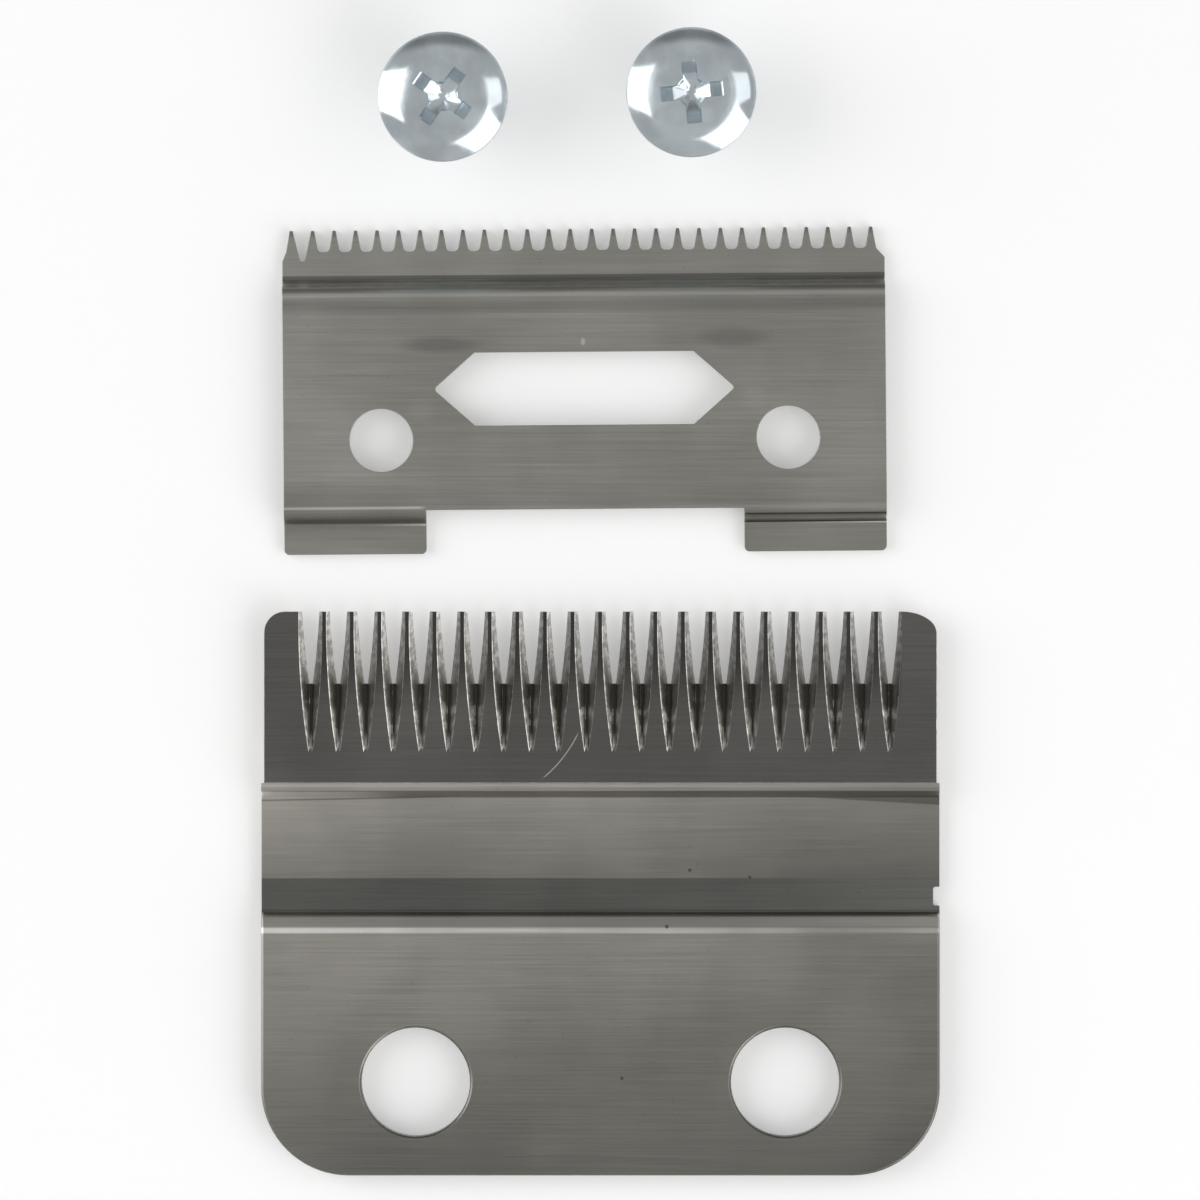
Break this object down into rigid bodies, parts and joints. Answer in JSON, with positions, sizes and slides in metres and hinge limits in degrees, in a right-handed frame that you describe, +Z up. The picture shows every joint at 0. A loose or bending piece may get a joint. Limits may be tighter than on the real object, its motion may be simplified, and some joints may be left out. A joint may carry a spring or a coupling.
{
  "type": "hair clipper blade set",
  "caption": "Steel hair clipper blade set laid out flat: a comb blade with long ground teeth and screw holes, a bent cutter blade with short teeth and a drive slot, and pan head screws.",
  "frame": {"origin": "midpoint between the comb blade's two screw holes, on the face that the comb lies on", "axes": "+Z up from the table, along the screw holes; +Y towards the comb's tooth tips; +X along the tooth row, to the right as the picture shows it"},
  "size_m": [0.045, 0.0759, 0.0085],
  "materials": {
    "comb_steel": "satin, fine grain along the tooth row",
    "cutter_steel": "satin, fine grain along the tooth row",
    "screw_plating": "bright bluish zinc plating"
  },
  "bodies": {
    "root": {"comb_blade": "comb_steel", "cutter_blade": "cutter_steel", "mounting_screws": "screw_plating"}
  },
  "joints": []
}
